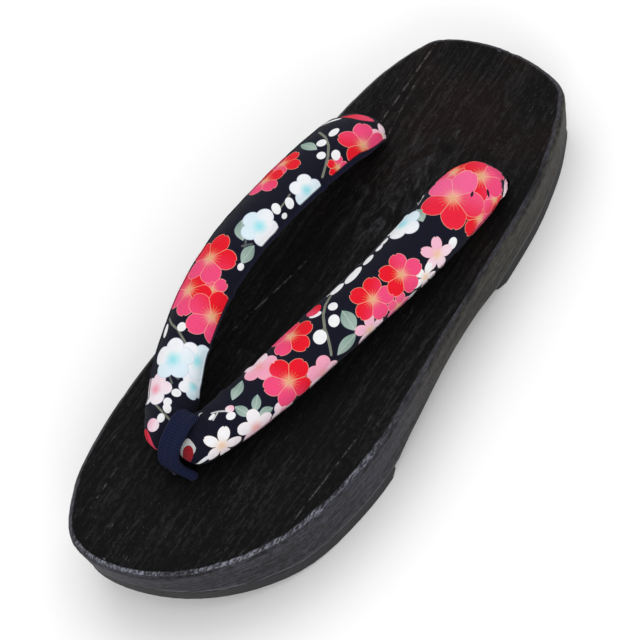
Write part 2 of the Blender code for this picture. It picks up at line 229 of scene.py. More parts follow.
sides = []
for way in (1, -1):
    wall = []
    for inset, lift, share in side_levels:
        place = edge_moved_in(turns * way, inset)
        low = underside(place[:, 0]) + LOWER_EDGE_ROUND
        high = top_height(place[:, 0]) - TOP_EDGE_ROUND
        if share == 0.0:
            height = low - LOWER_EDGE_ROUND + lift
        elif share == 1.0:
            height = high + TOP_EDGE_ROUND + lift
        else:
            height = low + (high - low) * share
        wall.append(np.column_stack([place, height]))
    sides.append(wall)
left_wall, right_wall = sides
ring = list(left_wall)
for share in np.linspace(0, 1, TOP_COLUMNS + 1)[1:-1]:
    points = left_wall[-1] * (1 - share) + right_wall[-1] * share
    points[:, 2] = top_height(points[:, 0])
    ring.append(points)
ring += right_wall[::-1]
for share in np.linspace(0, 1, UNDER_COLUMNS + 1)[1:-1]:
    points = right_wall[0] * (1 - share) + left_wall[0] * share
    points[:, 2] = underside(points[:, 0])
    ring.append(points)
ring = np.stack(ring, 1)
wood = make_piece("wood_base", ring.reshape(-1, 3), net(BASE_STATIONS + 1, ring.shape[1]))

HOLES = ((-0.0675, -0.02575), (-0.0675, 0.02575), (0.0735, -0.0110))


def turned(name, profiles, sides):
    """Solids of revolution, each given as its place and its (radius, height) profile from bottom to top."""
    points = []
    faces = []
    for place, profile in profiles:
        start = len(points)
        for radius, height in profile:
            for k in range(sides):
                swing = 2 * math.pi * k / sides
                x = place[0] + radius * math.cos(swing)
                y = place[1] + radius * math.sin(swing)
                points.append((x, y, height))
        for face in net(len(profile), sides, capped=True):
            faces.append(tuple(start + corner for corner in face))
    return make_piece(name, points, faces)


bores = []
for place in HOLES:
    surface = float(top_height(place[0]))
    recess = float(underside(place[0])) + RECESS_DEPTH
    profile = (
        (RECESS_RADIUS, -0.002),
        (RECESS_RADIUS, recess),
        (BORE_RADIUS, recess),
        (BORE_RADIUS, surface - BORE_CHAMFER),
        (BORE_RADIUS + BORE_CHAMFER * 2, surface + BORE_CHAMFER),
    )
    bores.append((place, profile))
drill = turned("drill", bores, BORE_SIDES)
cut = wood.modifiers.new("drill", "BOOLEAN")
cut.operation = "DIFFERENCE"
cut.solver = "EXACT"
cut.object = drill
bpy.context.view_layer.update()
bored = bpy.data.meshes.new_from_object(wood.evaluated_get(bpy.context.evaluated_depsgraph_get()))
wood.modifiers.clear()
wood.data = bored
bpy.data.objects.remove(drill)

# The brush has worn the soft grain into long shallow furrows, and knocks have chipped the edges.
FURROW_DEPTH = 0.00016
UNEVEN_DEPTH = 0.00010
CHIP_DEPTH = 0.0011
CHIPPED_ABOVE = 0.012

normals = [v.normal.copy() for v in wood.data.vertices]
for v, normal in zip(wood.data.vertices, normals):
    x, y, z = v.co
    furrow = noise.noise((x * 9, y * 420, z * 300)) + 0.5 * noise.noise((x * 16 + 7, y * 900, z * 600))
    uneven = noise.noise((x * 40, y * 70, z * 90 + 3))
    push = FURROW_DEPTH * furrow + UNEVEN_DEPTH * uneven
    rounded = 1 - abs(abs(normal.z) - 0.6) / 0.4
    if rounded > 0 and z > CHIPPED_ABOVE:
        chip = noise.noise((x * 160 + 5, y * 160, z * 260)) + 0.5 * noise.noise((x * 420, y * 420, z * 420))
        push -= CHIP_DEPTH * rounded * max(0.0, chip - 0.32)
    v.co = v.co + normal * push
wood.data.update()


class Shade:
    """A value that varies over a surface. Sums and products of it add Math nodes to its finish."""

    def __init__(self, finish, socket):
        self.finish = finish
        self.socket = socket

    def maths(self, operation, *values):
        return self.finish.node("ShaderNodeMath", dict(enumerate(values)), operation=operation)

    def __add__(self, other):
        return self.maths("ADD", self, other)

    def __radd__(self, other):
        return self.maths("ADD", other, self)

    def __sub__(self, other):
        return self.maths("SUBTRACT", self, other)

    def __rsub__(self, other):
        return self.maths("SUBTRACT", other, self)

    def __mul__(self, other):
        return self.maths("MULTIPLY", self, other)

    def __rmul__(self, other):
        return self.maths("MULTIPLY", other, self)

    def __truediv__(self, other):
        return self.maths("DIVIDE", self, other)

    def __pow__(self, other):
        return self.maths("POWER", self, other)

    def __abs__(self):
        return self.maths("ABSOLUTE", self)

    def sine(self):
        return self.maths("SINE", self)

    def cosine(self):
        return self.maths("COSINE", self)

    def most(self, other):
        return self.maths("MAXIMUM", self, other)

    def rising(self, low, high):
        """0 below low, 1 above high, and a soft step between. With low above high it falls."""
        sockets = {"Value": self, "From Min": low, "From Max": high}
        return self.finish.node("ShaderNodeMapRange", sockets, interpolation_type="SMOOTHSTEP")


class Finish:
    """One material, built up from nodes behind its shader."""

    def __init__(self, name, **constants):
        self.material = bpy.data.materials.new(name)
        self.material.use_nodes = True
        self.tree = self.material.node_tree
        self.shader = self.tree.nodes["Principled BSDF"]
        for socket, value in constants.items():
            self.shader.inputs[socket.replace("_", " ")].default_value = value

    def put(self, socket, value):
        if isinstance(value, Shade):
            self.tree.links.new(value.socket, socket)
        elif isinstance(value, tuple) and socket.type == "RGBA":
            socket.default_value = (*value, 1.0)
        else:
            socket.default_value = value

    def node(self, kind, sockets=None, out=0, **settings):
        """A node of a kind: its settings first, then the values or links of its sockets."""
        made = self.tree.nodes.new(kind)
        for setting, value in settings.items():
            setattr(made, setting, value)
        for socket, value in (sockets or {}).items():
            self.put(made.inputs[socket], value)
        if isinstance(out, tuple):
            return [Shade(self, made.outputs[each]) for each in out]
        return Shade(self, made.outputs[out])

    def cloud(self, x, y, z, detail=2.0, rough=0.5):
        """Soft noise from 0 to 1 at a point."""
        point = self.node("ShaderNodeCombineXYZ", {0: x, 1: y, 2: z})
        sockets = {"Vector": point, "Scale": 1.0, "Detail": detail, "Roughness": rough}
        return self.node("ShaderNodeTexNoise", sockets)

    def mix(self, share, first, second):
        """From the first colour to the second."""
        return self.node("ShaderNodeMix", {0: share, 6: first, 7: second}, out=2, data_type="RGBA")

    def read(self, name, out="Vector"):
        """A value kept on the mesh."""
        return self.node("ShaderNodeAttribute", out=out, attribute_name=name)

    def split(self, vector):
        return self.node("ShaderNodeSeparateXYZ", {0: vector}, out=(0, 1, 2))

    def bump(self, height, distance, strength):
        sockets = {"Height": height, "Distance": distance, "Strength": strength}
        return self.node("ShaderNodeBump", sockets, out="Normal")

    def wear(self, thing, **surface):
        """Join the varying values to the shader, and dress a piece."""
        for socket, value in surface.items():
            self.put(self.shader.inputs[socket.replace("_", " ")], value)
        thing.data.materials.clear()
        thing.data.materials.append(self.material)


# Baked black, brushed and waxed thin: matt in the furrows, a little brown at the heel, grey where feet rub.
BAKED_BLACK = (0.0026, 0.0025, 0.0026)
BRUSHED_GREY = (0.0112, 0.0107, 0.0108)
SCORCHED_BROWN = (0.011, 0.005, 0.0042)
RUBBED_GREY = (0.03, 0.03, 0.034)
PALE_GRAIN = (0.08, 0.078, 0.074)
# Pale flecks on the rounded edge: partly wear, partly a painted highlight.
WORN_EDGE_HIGHLIGHT = (0.19, 0.195, 0.235)
EDGE_GREY = (0.024, 0.024, 0.029)
WALL_DARK = (0.011, 0.0105, 0.011)
# The wall colours are far lighter than the top: partly the wood's own grey and brown, partly painted side
# light.
WALL_GREY_AND_SIDE_LIGHT = (0.057, 0.053, 0.072)
WALL_BROWN_AND_SIDE_LIGHT = (0.066, 0.06, 0.047)
JOINT_GREY = (0.1, 0.096, 0.105)
JOINT_ABOVE_RUBBER = 0.0019
# Pale broken lines that the growth rings left: start, end and half-width, in metres on the top.
GRAIN_LINES = (
    # x, y, x, y, half-width
    (0.024, -0.0255, -0.016, -0.0165, 0.00022),
    (-0.072, -0.025, -0.116, -0.0245, 0.0002),
    (-0.066, -0.019, -0.094, -0.0225, 0.00018),
    (0.04, 0.037, 0.078, 0.035, 0.00016),
    (0.086, -0.03, 0.104, -0.029, 0.00018),
)

baked = Finish("baked_wood", Metallic=0.0, Specular_IOR_Level=0.05, Coat_Roughness=0.34)
x, y, z = baked.split(baked.node("ShaderNodeTexCoord", out="Object"))
facing = baked.split(baked.node("ShaderNodeNewGeometry", out="Normal"))[2]
bands = baked.cloud(x * 5, y * 95, z * 95, detail=2.0)
patches = baked.cloud(x * 30, y * 34, z * 34, detail=3.0)
sway = (patches - 0.5) * 0.0030 + (bands - 0.5) * 0.0012
furrows = baked.cloud(x * 22, (y + sway) * 620, z * 620, detail=5.0, rough=0.66)
fibres = baked.cloud(x * 130, (y + sway) * 2400, z * 2400, detail=3.0, rough=0.6)
specks = baked.cloud(x * 900, y * 1700, z * 1700, detail=2.0)
rings = ((y + bands * 0.006 + x * 0.03) * 1150).sine() * 0.5 + 0.5

on_top = facing.rising(0.90, 0.985)
on_wall = abs(facing).rising(0.40, 0.15)
on_edge = (1 - on_top) * (1 - on_wall) * z.rising(0.010, 0.013)
pores = baked.cloud(x * 420, y * 900, z * 900, detail=3.0, rough=0.7)
fine = (furrows * 0.45 + fibres * 0.20 + pores * 0.35).rising(0.46, 0.64)
colour = baked.mix(fine * (0.25 + 0.75 * patches.rising(0.35, 0.65)), BAKED_BLACK, BRUSHED_GREY)
heel = x.rising(0.0, -0.09) * patches.rising(0.40, 0.62)
colour = baked.mix(heel * 0.5, colour, SCORCHED_BROWN)
rub = (((x + 0.048) / 0.036) ** 2 + ((y + 0.002) / 0.021) ** 2).rising(1.0, 0.1)
swirl = baked.cloud(x * 150 + bands * 9, y * 320 + patches * 12, z * 200, detail=5.0, rough=0.65)
colour = baked.mix(rub * swirl.rising(0.44, 0.66) * (0.35 + 0.65 * fine) * on_top, colour, RUBBED_GREY)
scratch = baked.cloud(x * 90 + 9, y * 430, z * 430, detail=4.0, rough=0.7).rising(0.62, 0.70)
colour = baked.mix(scratch * pores.rising(0.45, 0.6) * 0.8, colour, RUBBED_GREY)
for x1, y1, x2, y2, half in GRAIN_LINES:
    share = (x - x1) / (x2 - x1)
    off = abs(y - y1 - share * (y2 - y1) + (bands - 0.5) * 0.0016 + (specks - 0.5) * 0.0004)
    line = off.rising(half * 2.6, half * 0.3) * share.rising(-0.02, 0.05) * share.rising(1.02, 0.95)
    broken = baked.cloud(x * 260 + y1 * 900, y * 60, z, detail=5.0, rough=0.75).rising(0.44, 0.62)
    colour = baked.mix(line * broken * on_top * 0.8, colour, PALE_GRAIN)
# Pale specks are scattered over the top, fewer across its middle.
pale_specks = (abs(x - 0.02).rising(0.03, 0.10) * 0.7 + 0.3) * specks.rising(0.68, 0.76)
colour = baked.mix(pale_specks * on_top * 0.5, colour, PALE_GRAIN)
wall_grain = baked.cloud(x * 20, y * 20, (z + sway * 0.5) * 820, detail=5.0, rough=0.7)
wall_patch = baked.cloud(x * 45, y * 45, z * 160, detail=3.0)
wall = baked.mix(x.rising(-0.02, 0.05), WALL_BROWN_AND_SIDE_LIGHT, WALL_GREY_AND_SIDE_LIGHT)
wall_speck = baked.cloud(x * 420, y * 420, z * 620, detail=4.0, rough=0.7)
brushed = (wall_grain * 0.5 + wall_speck * 0.5).rising(0.40, 0.62)
wall = baked.mix(brushed * (0.35 + 0.65 * wall_patch), WALL_DARK, wall)
spring = ((x - (LENGTH / 2 - TOE_SPRING_LENGTH)).most(0.0) / TOE_SPRING_LENGTH) ** 2 * TOE_SPRING_RISE
joint = abs(z - spring - RUBBER_THICKNESS - JOINT_ABOVE_RUBBER).rising(0.0008, 0.0003)
wall = baked.mix(joint * wall_grain.rising(0.35, 0.60) * 0.6, wall, JOINT_GREY)
# Faces that turn sideways take the wall colour, made lighter by its painted side light.
colour = baked.mix(abs(facing).rising(0.80, 0.50), colour, wall)
# The rounded top edge is painted a lighter grey with pale flecks. This is partly wear and chips and partly a
# painted highlight, brightest at the toe on the outer side.
glint = baked.cloud(x * 420, y * 1500, z * 1500, detail=4.0, rough=0.75)
wear_and_highlight = 0.15 + 0.85 * x.rising(0.02, 0.06) * y.rising(-0.045, -0.010)
crest = facing.rising(0.56, 0.72) * facing.rising(0.985, 0.93) * z.rising(0.010, 0.013)
edge = baked.mix(glint.rising(0.43, 0.62) * wear_and_highlight, EDGE_GREY, WORN_EDGE_HIGHLIGHT)
colour = baked.mix(crest * (0.35 + 0.65 * wall_patch.rising(0.30, 0.60)), colour, edge)
gloss = 0.66 - 0.18 * on_edge - 0.08 * on_wall + (furrows - 0.5) * 0.3
height = furrows * 0.55 + fibres * 0.35 + rings * 0.10 + wall_grain * on_wall * 0.8
baked.wear(
    wood,
    Base_Color=colour,
    Roughness=gloss,
    Coat_Weight=0.30 * on_edge * fine + 0.10 * on_wall + 0.12 * on_top * fine,
    Normal=baked.bump(height, 0.00050, 0.9),
)
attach(wood, "root")
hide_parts("base")


# The soles are two flat pieces of matt black rubber, glued under the heel and the forefoot.
RUBBER_BLACK = (0.014, 0.014, 0.016)
RUBBER_DUST = (0.06, 0.056, 0.05)

rubber = Finish("sole_rubber", Metallic=0.0, Specular_IOR_Level=0.35)
x, y, z = rubber.split(rubber.node("ShaderNodeTexCoord", out="Object"))
facing = rubber.split(rubber.node("ShaderNodeNewGeometry", out="Normal"))[2]
crumb = rubber.cloud(x * 1400, y * 1400, z * 1400, detail=3.0)
scuff = rubber.cloud(x * 60, y * 60, z * 240, detail=4.0)
dust = scuff.rising(0.52, 0.72) * (0.35 + 0.65 * facing.rising(-0.2, -0.8))
tread = (x * 2100).sine().rising(-0.35, 0.35) * facing.rising(-0.7, -0.9)
for name in ("front_sole", "heel_sole"):
    rubber.wear(
        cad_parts[name],
        Base_Color=rubber.mix(dust * 0.6, RUBBER_BLACK, RUBBER_DUST),
        Roughness=0.72 + (scuff - 0.5) * 0.3,
        Normal=rubber.bump(crumb * 0.25 + tread, 0.0004, 0.8),
    )


# The strap is the hanao: cotton cloth printed with blossoms over a padded core, with a plain navy lining
# turned to the foot and a rolled edge on the other side. Its two arms come up out of the rear holes, where
# the cloth is gathered, and are sewn together at the point of the V.
STRAP_WIDTH = 0.0208
STRAP_CROWN = 0.0074
STRAP_BELLY = 0.0050
STRAP_FRONT_ROUND = 0.0080
TUCK_START = 0.034
TUCK_RADIUS = 0.0049
TUCK_DEPTH = 0.0060
MOUTH_BELOW_TOP = 0.0008
TUCK_RINGS = 30
DEEP_RINGS = 8
ARM_RINGS = 250
TIP_RINGS = 16
ARM_SIDES = 160
LINING_FROM_CROWN = 0.0128
INNER_ROLL = 0.0095
OUTER_ROLL = 0.0165
ROLL_HEIGHT = 0.0010
ROLL_HALF_WIDTH = 0.00062
SEAM_FROM_ROLL = 0.0014
SEAM_DEPTH = 0.00035
SEAM_HALF_WIDTH = 0.00040
SEAM_END = 0.138
SEAM_FADE = 0.012
PUCKER_DEPTH = 0.00065
PADDING_UNEVEN = 0.00022
INNER_ARM = (
    # along, bow, lift, breadth, depth, lean
    (0, 0, 0.0035, 0.76, 0.9, 0),
    (0.053, 0, 0.0086, 0.94, 0.97, 4),
    (0.11, -0.0022, 0.0124, 1.02, 1, 8),
    (0.223, -0.006, 0.0155, 1, 1, 10),
    (0.351, -0.01, 0.0178, 0.98, 1, 12),
    (0.493, -0.0139, 0.0185, 0.96, 1, 12),
    (0.635, -0.0158, 0.0163, 0.94, 1, 12),
    (0.777, -0.0147, 0.0122, 0.9, 1, 10),
    (0.89, -0.0109, 0.0087, 0.87, 1, 6),
    (0.968, -0.0068, 0.0076, 0.8, 1, 0),
)
OUTER_ARM = (
    # along, bow, lift, breadth, depth, lean
    (0, 0, 0.0035, 0.76, 0.9, 0),
    (0.053, 0.0005, 0.0074, 0.96, 0.99, -4),
    (0.11, 0.0017, 0.0087, 1.04, 1, -8),
    (0.223, 0.0044, 0.01, 1.02, 1, -10),
    (0.351, 0.0061, 0.0105, 0.98, 1, -10),
    (0.493, 0.0064, 0.0104, 0.96, 1, -10),
    (0.635, 0.0062, 0.0096, 0.94, 1, -8),
    (0.777, 0.006, 0.0084, 0.9, 1, -6),
    (0.89, 0.005, 0.0082, 0.87, 1, -4),
    (0.96, 0.0034, 0.0073, 0.8, 1, 0),
)
# Soft troughs that the stuffed cloth falls into: where they are, how they turn, and how long, wide and deep.
INNER_CREASES = (
    # along, round, turn, half-length, half-width, depth
    (0.012, 0.004, 80, 0.007, 0.0016, 0.0004),
    (0.007, -0.006, 100, 0.006, 0.0013, 0.0005),
    (0.036, 0.014, 65, 0.0045, 0.0012, 0.00035),
    (0.062, 0.015, 110, 0.0045, 0.0012, 0.00035),
    (0.09, 0.015, 70, 0.0045, 0.0011, 0.0003),
    (0.112, 0.014, 115, 0.004, 0.0011, 0.00035),
    (0.128, 0.008, 60, 0.006, 0.0012, 0.00045),
    (0.135, -0.005, 100, 0.006, 0.0012, 0.00045),
    (0.14, 0.004, 75, 0.006, 0.001, 0.00045),
)
OUTER_CREASES = (
    # along, round, turn, half-length, half-width, depth
    (0.01, -0.004, 95, 0.007, 0.0016, 0.0004),
    (0.006, 0.008, 75, 0.006, 0.0013, 0.0005),
    (0.035, -0.014, 110, 0.0045, 0.0012, 0.00035),
    (0.06, -0.013, 65, 0.0045, 0.0012, 0.0003),
    (0.086, -0.014, 105, 0.0045, 0.0011, 0.0003),
    (0.112, -0.012, 60, 0.005, 0.0012, 0.0004),
    (0.124, -0.007, 110, 0.006, 0.0012, 0.00045),
    (0.13, 0.003, 75, 0.006, 0.0011, 0.00045),
    (0.136, -0.004, 95, 0.007, 0.001, 0.0005),
    (0.131, -0.016, 90, 0.005, 0.0048, -0.0013),
)


def arm_middle(rows, hole, along):
    point = HOLES[2]
    x = hole[0] + (point[0] - hole[0]) * along
    y = hole[1] + (point[1] - hole[1]) * along + through(rows, 1, along)
    return np.stack([x, y, top_height(x) + through(rows, 2, along)], -1)


def unit(v):
    return v / np.linalg.norm(v, axis=-1, keepdims=True)


def arc(points, axis=0):
    """How far each point is along a line of points."""
    steps = np.linalg.norm(np.diff(points, axis=axis), axis=-1)
    start = np.zeros_like(np.take(steps, [0], axis))
    return np.concatenate([start, np.cumsum(steps, axis)], axis)


def swept(start, start_way, end, end_way, t):
    t = t[:, None]
    return (
        start * (2 * t**3 - 3 * t**2 + 1)
        + start_way * (t**3 - 2 * t**2 + t)
        + end * (3 * t**2 - 2 * t**3)
        + end_way * (t**3 - t**2)
    )


def seen_along(swing, a, b):
    """Places along and across a line that is turned by an angle."""
    cos, sin = math.cos(swing), math.sin(swing)
    return a * cos + b * sin, b * cos - a * sin


def sew_arm(name, rows, hole, foot, rolled_at, creases):
    """One padded arm, and its places along and round the cloth. The foot is on its left when foot is 1."""
    along = np.linspace(TUCK_START, rows[-1][0], ARM_RINGS)
    nudge = 0.004
    way = unit(arm_middle(rows, hole, along + nudge) - arm_middle(rows, hole, along - nudge))
    swing = np.linspace(0, math.pi / 2, TIP_RINGS + 1)[1:]
    middle = arm_middle(rows, hole, along)
    middle = np.vstack([middle, middle[-1] + way[-1] * STRAP_FRONT_ROUND * np.sin(swing)[:, None]])
    size = np.maximum(np.concatenate([np.ones(ARM_RINGS), np.cos(swing)]), 0.004)
    along = np.concatenate([along, np.full(TIP_RINGS, along[-1])])
    way = np.vstack([way, np.tile(way[-1], (TIP_RINGS, 1))])
    left = unit(np.cross((0, 0, 1), way))
    above = np.cross(way, left)
    lean = np.radians(through(rows, 5, along))[:, None]
    side = left * np.cos(lean) + above * np.sin(lean)
    crest = above * np.cos(lean) - left * np.sin(lean)
    half = STRAP_WIDTH / 2 * through(rows, 3, along) * size
    depth = (through(rows, 4, along) * size)[:, None]
    crown = middle + crest * STRAP_CROWN * depth
    belly = middle - crest * STRAP_BELLY * depth
    lower = np.full(len(along), STRAP_BELLY / (STRAP_BELLY + STRAP_CROWN))

    ahead = unit(way[0] * (1, 1, 0))
    mouth = np.array((*hole, float(top_height(hole[0])) - MOUTH_BELOW_TOP))
    t = np.linspace(0, 1, TUCK_RINGS + 1)[1:][::-1]
    ease = t * t * (3 - 2 * t)
    down = np.array((0, 0, -1.0))
    crown_in = swept(crown[0], way[0] * -0.008, mouth - ahead * TUCK_RADIUS, down * 0.010 + ahead * 0.001, t)
    belly_in = swept(belly[0], way[0] * -0.004, mouth + ahead * TUCK_RADIUS, down * 0.004, t)
    side_in = unit(side[0] * (1 - ease)[:, None] + left[0] * ease[:, None])
    half_in = half[0] * (1 - ease**2) + TUCK_RADIUS * ease**2
    lower_in = lower[0] * (1 - ease) + 0.5 * ease
    drop = np.linspace(TUCK_DEPTH, 0, DEEP_RINGS + 1)[:-1]
    crown = np.vstack([crown_in[0] + down * drop[:, None], crown_in, crown])
    belly = np.vstack([belly_in[0] + down * drop[:, None], belly_in, belly])
    side = np.vstack([np.tile(side_in[0], (DEEP_RINGS, 1)), side_in, side])
    half = np.concatenate([np.full(DEEP_RINGS, half_in[0]), half_in, half])
    lower = np.concatenate([np.full(DEEP_RINGS, 0.5), lower_in, lower])
    tucked = np.concatenate([np.ones(DEEP_RINGS), t, np.zeros(len(along))])[:, None]

    angle = np.linspace(-math.pi / 2, math.pi * 1.5, ARM_SIDES + 1)[:-1]
    heart = belly + (crown - belly) * lower[:, None]
    reach = np.where(np.sin(angle)[:, None] > 0, (crown - heart)[:, None, :], (heart - belly)[:, None, :])
    points = (
        heart[:, None, :]
        + side[:, None, :] * (half[:, None] * np.cos(angle))[..., None]
        + reach * np.sin(angle)[None, :, None]
    )

    start = DEEP_RINGS + TUCK_RINGS
    round_it = arc(np.concatenate([points, points[:, :1]], 1), axis=1)
    v = round_it[:, ARM_SIDES // 2, None] - round_it
    u = arc(arm_middle(rows, hole, np.linspace(0, TUCK_START, 40)))[-1] + arc(heart)
    u = u - arc(heart)[start]
    u[:start] = u[start] - (arc(crown)[start] - arc(crown)[:start]) * 0.75
    u = np.repeat(u[:, None], ARM_SIDES + 1, 1)

    turned_in = np.roll(points, -1, 1) - np.roll(points, 1, 1)
    outward = unit(np.cross(np.gradient(points, axis=0), turned_in))
    place = u[:, :-1]
    around = v[:, :-1]
    at_foot = around * foot
    roll = ROLL_HEIGHT * np.exp(-(((at_foot + rolled_at) / ROLL_HALF_WIDTH) ** 2))
    seams = np.zeros_like(place)
    for far in (SEAM_FROM_ROLL - rolled_at, -SEAM_FROM_ROLL - rolled_at, LINING_FROM_CROWN):
        seams += SEAM_DEPTH * np.exp(-(((at_foot - far) / SEAM_HALF_WIDTH) ** 2))
    ends = np.clip((SEAM_END - place) / SEAM_FADE, 0, 1)
    push = (roll - seams) * (1 - tucked) * ends
    for cu, cv, turn, long, wide, deep in creases:
        a, b = seen_along(math.radians(turn), place - cu, around - cv)
        b = b + a * a * 12
        trough = np.exp(-((b / wide) ** 2)) - 0.45 * np.exp(-(((b - wide * 2.1) / wide) ** 2))
        push -= deep * trough * np.exp(-((a / long) ** 2))
    pleats = np.array([noise.noise((c * 0.55, 3.0 * foot, 0)) for c in range(ARM_SIDES // 2)])
    pleats = np.concatenate([pleats, pleats[::-1]])
    gathered = np.clip(tucked * 1.6, 0, 1) * np.clip((1.02 - tucked) * 6, 0.2, 1)
    push -= PUCKER_DEPTH * pleats[None, :] * gathered
    shape = points.reshape(-1, 3)
    uneven = np.array([noise.noise(p * 95) + 0.4 * noise.noise(p * 260) for p in map(Vector, shape)])
    push += PADDING_UNEVEN * uneven.reshape(place.shape)
    points = points + outward * push[..., None]

    faces = net(len(points), ARM_SIDES, capped=True)
    return make_piece(name, points.reshape(-1, 3), faces), u * 1000, v * 1000


inner_arm, inner_u, inner_v = sew_arm("strap_inner_arm", INNER_ARM, HOLES[0], 1, INNER_ROLL, INNER_CREASES)
outer_arm, outer_u, outer_v = sew_arm("strap_outer_arm", OUTER_ARM, HOLES[1], -1, OUTER_ROLL, OUTER_CREASES)

# The print is a common one of cherry and plum blossoms, drawn motif by motif in mm along and round the cloth.
# A look has a form, how far out its petals stand, their size and stretch (for an oval, how blunt its ends
# are), its gilt outline, and the two colours that its petals or its length change between.
BLOSSOM = 1
LEAF = 2
OVAL = 3
PETALS = 5
PETAL_STEP = math.tau / PETALS
PRINT_LAYERS = 3
LOOKS = {
    # form, petals out, petal size, stretch, gilt, colour, second colour
    "red": (BLOSSOM, 0.6, 0.4, 1.05, 1, (0.72, 0.004, 0.018), (0.78, 0.06, 0.18)),
    "rose": (BLOSSOM, 0.6, 0.4, 1.05, 1, (0.74, 0.012, 0.04), (0.8, 0.11, 0.27)),
    "pink": (BLOSSOM, 0.6, 0.4, 1.05, 1, (0.78, 0.09, 0.21), (0.82, 0.22, 0.38)),
    "pale": (BLOSSOM, 0.58, 0.31, 1.38, 0.6, (0.8, 0.43, 0.56), (0.82, 0.64, 0.72)),
    "white": (BLOSSOM, 0.6, 0.29, 1.42, 0.5, (0.8, 0.79, 0.81), (0.8, 0.73, 0.77)),
    "plum": (BLOSSOM, 0.56, 0.44, 1, 0, (0.79, 0.8, 0.83), (0.64, 0.76, 0.83)),
    "peach": (BLOSSOM, 0.56, 0.43, 1, 0.1, (0.8, 0.64, 0.7), (0.8, 0.74, 0.78)),
    "leaf": (LEAF, 0, 0, 2, 0.4, (0.21, 0.31, 0.27), (0.33, 0.43, 0.385)),
    "bud": (OVAL, 0, 0, 2, 0, (0.79, 0.79, 0.81), (0.78, 0.78, 0.79)),
    "blush": (OVAL, 0, 0, 2, 0, (0.78, 0.42, 0.54), (0.8, 0.69, 0.74)),
    "scarlet": (OVAL, 0, 0, 2, 0, (0.65, 0.005, 0.018), (0.7, 0.06, 0.13)),
    "blossom_white": (BLOSSOM, 0.58, 0.35, 1.2, 0.3, (0.79, 0.76, 0.79), (0.79, 0.56, 0.64)),
    # A scarlet darkened to paint the shadow that the toe loop casts on the cloth.
    "shaded_scarlet": (OVAL, 0, 0, 2, 0, (0.26, 0.006, 0.012), (0.3, 0.02, 0.035)),
    "shell": (BLOSSOM, 0.57, 0.41, 1.05, 0.3, (0.8, 0.33, 0.46), (0.82, 0.64, 0.72)),
    "slit": (OVAL, 0, 0, 2, 0, (0.008, 0.007, 0.02), (0.01, 0.008, 0.022)),
    "twig": (OVAL, 0, 0, 12, 0, (0.155, 0.165, 0.125), (0.19, 0.195, 0.155)),
    "shade": (OVAL, 0, 0, 12, 0, (0.07, 0.08, 0.078), (0.095, 0.105, 0.1)),
    "frost": (OVAL, 0, 0, 12, 0, (0.48, 0.49, 0.49), (0.56, 0.57, 0.57)),
}
INNER_TWIGS = (
    # look, half-width, then the bends
    ("twig", 0.47, (21.5, -4.5), (23, 0.5), (25.2, 3.9), (28.5, 6.7), (31.5, 8.4), (35.8, 10.8)),
    ("twig", 0.32, (49, 7.5), (52.5, 8.2), (57, 8.6)),
    ("shade", 0.4, (69, 5.5), (73, 7.5), (77.5, 9.6)),
    ("shade", 0.36, (71.5, 9.5), (74.5, 7)),
    ("twig", 0.43, (105.5, -6.5), (107.5, -4), (109.5, 0), (114, 4.5)),
    ("shade", 0.43, (122, -3), (124.5, 0.5), (127, 4)),
    ("shade", 0.4, (124.5, 0), (129, 2)),
    ("twig", 0.4, (134, -5.5), (137, -3.5), (141, 0), (143.5, 2.5)),
)
INNER_PRINT = (
    # look, along, round, radius, turn, turn to the second colour, or half-length, half-width, turn
    ("red", 28.5, 11.8, 4.2, 10, 180),
    ("bud", 16.5, -7.8, 5.5, 1.1, -40),
    ("scarlet", 8.2, -0.5, 6.5, 1.6, 114),
    ("leaf", 29, -9.1, 6.5, 1.3, 0),
    ("blush", 43, -9.1, 6.5, 1, 0),
    ("blush", 57.5, -9.1, 6, 0.9, 0),
    ("bud", 70, -9.1, 4, 0.9, 0),
    ("scarlet", 90, -9.1, 12, 1, 0),
    ("bud", 120, -9.1, 13, 0.8, 0),
    ("leaf", 28.8, -2.2, 4.2, 2, 90),
    ("leaf", 69.5, 3.5, 4.2, 2.6, 40),
    ("leaf", 75.5, 10.3, 4, 2.2, 0),
    ("bud", 19.6, 0.8, 2.2, 1.4, 10),
    ("bud", 25.6, 1, 1.8, 1.7, 0),
    ("bud", 29.9, 4.8, 1.7, 1.5, 0),
    ("bud", 26.2, 8.2, 2, 1.6, 40),
    ("bud", 51.5, 9.6, 2.1, 1.6, 60),
    ("bud", 56.3, 7.6, 2.1, 1.6, 60),
    ("bud", 56, 11.4, 1.2, 1, 0),
    ("bud", 80.5, 10.8, 1.4, 1.2, 0),
    ("bud", 108.3, 1, 1.7, 1.7, 0),
    ("bud", 110, -6, 2.6, 1.1, 10),
    ("scarlet", 149, -7.5, 4.5, 2.6, 20),
    ("pale", 7, 12, 6, 20, 180),
    ("red", 15.1, 10.6, 8.8, 20, 215),
    ("red", 39.5, -4.8, 7, 30, 330),
    ("red", 48.6, -5.2, 7.2, 0, 0),
    ("plum", 43.5, 10.3, 6, 20, 90),
    ("plum", 65, 7.6, 7, 50, 300),
    ("red", 93, 6, 6, 0, 180),
    ("red", 95.5, -2, 9.2, 15, 320),
    ("red", 101.5, 9.7, 9.6, 30, 330),
    ("red", 83, -0.5, 9.5, 36, 0),
    ("plum", 128.5, 9.3, 5.2, 0, 60),
    ("peach", 131, -4.2, 6.5, 20, 0),
    ("plum", 118.8, 9.2, 7.2, 10, 90),
    ("plum", 120, 1, 7.6, 40, 30),
    ("bud", 132.5, 3.8, 1.8, 1.7, 0),
    ("bud", 136.5, 1, 1.6, 1.5, 0),
    ("bud", 139, 1, 2, 1.4, 20),
    ("bud", 142.5, -1, 1.7, 1.4, 0),
    ("blush", 144.5, -4, 2.8, 2.2, 60),
)
